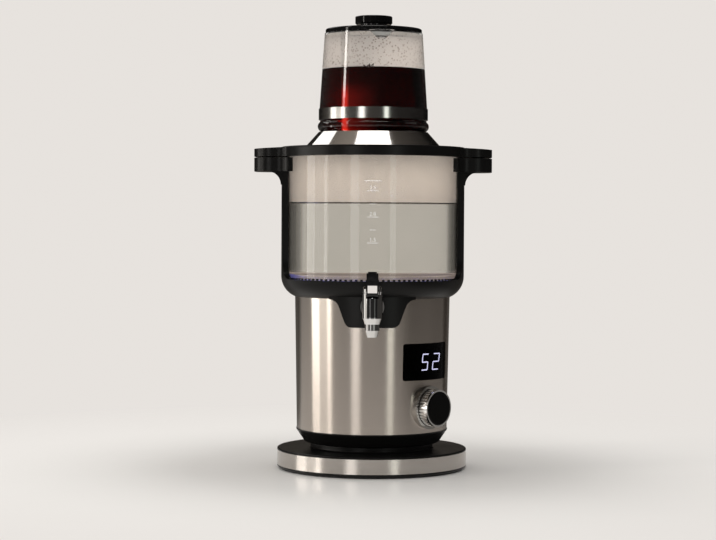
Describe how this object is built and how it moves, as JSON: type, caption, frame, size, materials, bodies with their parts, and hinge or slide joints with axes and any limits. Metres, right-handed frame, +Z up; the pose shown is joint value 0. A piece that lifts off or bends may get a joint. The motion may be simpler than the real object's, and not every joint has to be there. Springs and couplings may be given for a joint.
{
  "type": "electric samovar",
  "caption": "Electric samovar: glass water tank with a lever tap over a steel body with display and knob, on a round power base, with a glass teapot on the tank lid.",
  "frame": {"origin": "on the turning axis of the samovar, in the table plane under the foot ring", "axes": "+Z up, the tap faces -Y, the two ears lie along X"},
  "size_m": [0.236, 0.2163, 0.4502],
  "materials": {
    "matte_black": "fine moulded grain",
    "gloss_black": "polished moulding",
    "brushed_steel": "fine upright brushing",
    "polished_steel": "polished sheet",
    "chrome": "bright plating",
    "clear_glass": "clear borosilicate",
    "silicone": "translucent white",
    "black_rubber": "matte",
    "plain_steel": "as machined",
    "aluminium": "as cast",
    "heater_sheath": "heat-dulled sheath",
    "lead_insulation": "silicone wire cover",
    "cutout_body": "phenolic",
    "brass": "bright",
    "circuit_board": "solder resist",
    "display_white": "reflector block",
    "light_guide": "frosted clear ring, lit blue",
    "pale_plate": "satin"
  },
  "bodies": {
    "base": {"base_foot_ring": "black_rubber", "base_tray": "matte_black", "base_band": "brushed_steel", "base_cover": "matte_black", "base_connector": "matte_black", "socket_contacts": "brass", "base_screws": "plain_steel", "cord_gland": "black_rubber"},
    "connector": {"body_connector": "matte_black", "connector_pins": "brass"},
    "samovar": {"bottom_skirt": "matte_black", "bottom_screws": "plain_steel", "tie_rods": "plain_steel", "body_shell": "brushed_steel", "collar_frame": "matte_black", "top_ring": "matte_black", "ear_screws": "plain_steel", "glass_tank": "clear_glass", "tank_seal_lower": "silicone", "tank_seal_upper": "silicone", "light_ring": "light_guide", "heating_plate": "polished_steel", "heat_spreader": "aluminium", "heating_element": "heater_sheath", "heater_leads": "lead_insulation", "thermal_cutout": "cutout_body", "temperature_probe": "plain_steel", "outlet_hose": "silicone", "hose_clips": "plain_steel", "display_window": "gloss_black", "display_module": "display_white", "control_board": "circuit_board", "power_board": "circuit_board", "encoder_housing": "plain_steel", "knob_bezel": "chrome", "tap_body": "chrome", "tap_bonnet": "matte_black", "tap_inlay": "gloss_black", "tap_gasket": "black_rubber", "tap_nut": "brass", "tap_pin": "plain_steel"},
    "encoder": {"encoder_rotor": "matte_black"},
    "knob": {"knob_grip": "chrome", "knob_cap": "gloss_black", "knob_shaft": "plain_steel"},
    "lever": {"tap_lever": "gloss_black", "lever_plate": "pale_plate"},
    "valve": {"tap_stem": "plain_steel", "tap_plug": "black_rubber", "tap_spring": "plain_steel"},
    "tank_lid": {"lid_cone": "polished_steel", "lid_insert": "matte_black", "lid_gasket": "silicone"},
    "teapot": {"teapot_glass": "clear_glass", "teapot_band": "brushed_steel", "teapot_handle": "matte_black", "handle_screw": "plain_steel"},
    "teapot_lid": {"teapot_lid_disc": "gloss_black", "teapot_lid_seal": "silicone", "teapot_lid_knob": "gloss_black"}
  },
  "joints": [
    {"name": "samovar_lift", "type": "slide", "parent": "base", "child": "connector", "axis": [0, 0, 1], "range_m": [0, 0.12]},
    {"name": "samovar_swivel", "type": "hinge", "parent": "connector", "child": "samovar", "pos_m": [0, 0, 0.0265], "axis": [0, 0, 1], "continuous": true},
    {"name": "tank_lid_lift", "type": "slide", "parent": "samovar", "child": "tank_lid", "axis": [0, 0, 1], "range_m": [0, 0.15]},
    {"name": "teapot_lift", "type": "slide", "parent": "tank_lid", "child": "teapot", "axis": [0, 0, 1], "range_m": [0, 0.15]},
    {"name": "teapot_lid_lift", "type": "slide", "parent": "teapot", "child": "teapot_lid", "axis": [0, 0, 1], "range_m": [0, 0.1]},
    {"name": "tap_lever_pull", "type": "hinge", "parent": "samovar", "child": "lever", "pos_m": [0, -0.1096, 0.1785], "axis": [1, 0, 0], "range_deg": [0, 34], "stiffness_Nm_per_rad": 0.3, "springref_deg": -17.19},
    {"name": "tap_stem_rise", "type": "slide", "parent": "samovar", "child": "valve", "axis": [0, 0, 1], "range_m": [0, 0.0035], "deforming": ["tap_spring"]},
    {"name": "knob_turn", "type": "hinge", "parent": "samovar", "child": "encoder", "pos_m": [0.05517, -0.05145, 0.065], "axis": [0.7314, -0.682, 0], "continuous": true},
    {"name": "knob_press", "type": "slide", "parent": "encoder", "child": "knob", "axis": [-0.7314, 0.682, 0], "range_m": [0, 0.0015], "stiffness_N_per_m": 1500, "springref_m": -0.001}
  ],
  "couplings": [
    {"joint": "tap_stem_rise", "follows": "tap_lever_pull", "m_per_rad": 0.0057}
  ]
}
